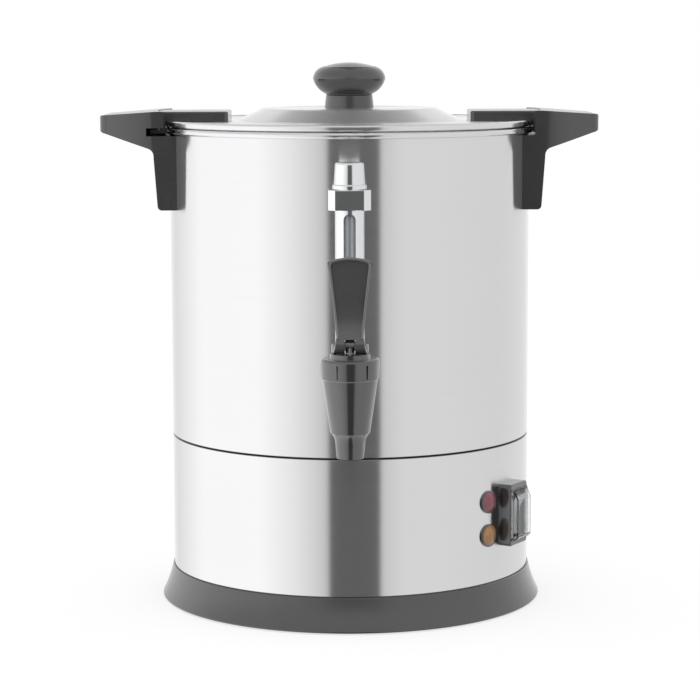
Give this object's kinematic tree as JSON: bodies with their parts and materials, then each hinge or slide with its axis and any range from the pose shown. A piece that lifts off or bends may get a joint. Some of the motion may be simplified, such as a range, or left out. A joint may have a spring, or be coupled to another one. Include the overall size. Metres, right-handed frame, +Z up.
{
  "type": "coffee urn",
  "caption": "Round steel percolator urn with a twist-lock lid, side handles, drip tap with paddle lever, sight gauge, rocker switch and lamps.",
  "frame": {"origin": "on the urn's axis, on the surface it stands on", "axes": "+Z up, tap towards -Y, handles along X, switch panel to the right of the tap (+X)"},
  "size_m": [0.302, 0.2994, 0.3293],
  "materials": {
    "steel_body": "brushed round the axis",
    "steel_lid": "spun satin",
    "chrome": "polished",
    "zinc_steel": "zinc plated",
    "aluminium": "plain",
    "black_satin": "satin moulded",
    "black_gloss": "glossy moulded",
    "rubber": "matt",
    "silicone": "translucent white",
    "glass": "clear",
    "clear_plastic": "clear soft plastic",
    "red_lens": "clear red",
    "amber_lens": "clear amber",
    "white_plastic": "plain",
    "wire": "insulated lead"
  },
  "bodies": {
    "urn": {"base_ring": "black_satin", "bottom_cover": "zinc_steel", "rubber_feet": "rubber", "bottom_screws": "zinc_steel", "lower_housing": "steel_body", "reservoir": "steel_body", "handle_right": "black_satin", "handle_left": "black_satin", "handle_brackets": "zinc_steel", "handle_screws": "zinc_steel", "tap_body": "black_gloss", "tap_bonnet": "black_gloss", "tap_spring": "zinc_steel", "tap_washers": "silicone", "tap_nut": "zinc_steel", "gauge_tee": "black_gloss", "gauge_lower_seal": "rubber", "gauge_glass": "glass", "gauge_shield": "chrome", "gauge_block": "chrome", "gauge_nut": "zinc_steel", "switch_bezel": "black_gloss", "switch_body": "black_gloss", "switch_splash_cover": "clear_plastic", "heating_lamp_lens": "red_lens", "keep_warm_lamp_lens": "amber_lens", "lamp_bezels": "black_gloss", "lamp_bodies": "white_plastic", "cable_gland": "black_satin", "gland_nut": "black_satin", "heat_plate": "aluminium", "brew_element": "zinc_steel", "keep_warm_element": "zinc_steel", "clamp_plate": "zinc_steel", "clamp_studs": "zinc_steel", "clamp_nuts": "zinc_steel", "brew_thermostat": "white_plastic", "keep_warm_thermostat": "white_plastic", "thermal_cutout": "white_plastic", "terminal_block": "white_plastic", "wiring": "wire", "pump_tube": "zinc_steel", "pump_foot": "zinc_steel", "brew_basket": "zinc_steel", "basket_cover": "zinc_steel"},
    "lid": {"lid": "steel_lid", "lid_lock_right": "black_satin", "lid_lock_left": "black_satin", "lid_rivets": "zinc_steel", "knob_collar": "black_satin", "lid_knob": "black_satin", "knob_screw": "zinc_steel"},
    "tap_stem": {"tap_stem": "zinc_steel", "tap_seat_cup": "silicone"},
    "tap_lever": {"tap_lever": "black_gloss", "lever_pin": "zinc_steel"},
    "gauge_seal": {"gauge_cap_seal": "rubber"},
    "gauge_cap": {"gauge_cap": "chrome"},
    "rocker": {"switch_rocker": "black_gloss"}
  },
  "joints": [
    {"name": "lid_turn", "type": "hinge", "parent": "urn", "child": "lid", "pos_m": [0, 0, 0.2948], "axis": [0, 0, 1], "range_deg": [0, 35]},
    {"name": "stem_lift", "type": "slide", "parent": "urn", "child": "tap_stem", "axis": [0, 0, 1], "range_m": [0, 0.0045], "stiffness_N_per_m": 1200, "springref_m": -0.002, "deforming": ["tap_spring"]},
    {"name": "lever_pull", "type": "hinge", "parent": "tap_stem", "child": "tap_lever", "pos_m": [0, -0.165, 0.1763], "axis": [1, 0, 0], "range_deg": [0, 56]},
    {"name": "gauge_cap_lift", "type": "slide", "parent": "urn", "child": "gauge_seal", "axis": [0, 0, 1], "range_m": [0, 0.0096]},
    {"name": "gauge_cap_turn", "type": "hinge", "parent": "gauge_seal", "child": "gauge_cap", "pos_m": [0, -0.13, 0.267], "axis": [0, 0, 1], "range_deg": [0, 2200]},
    {"name": "rocker_press", "type": "hinge", "parent": "urn", "child": "rocker", "pos_m": [0.09693, -0.0571, 0.0602], "axis": [-0.5075, -0.8616, 0], "range_deg": [0, 16]}
  ],
  "couplings": [
    {"joint": "lever_pull", "follows": "stem_lift", "rad_per_m": 212.77},
    {"joint": "gauge_cap_turn", "follows": "gauge_cap_lift", "rad_per_m": 3927}
  ]
}
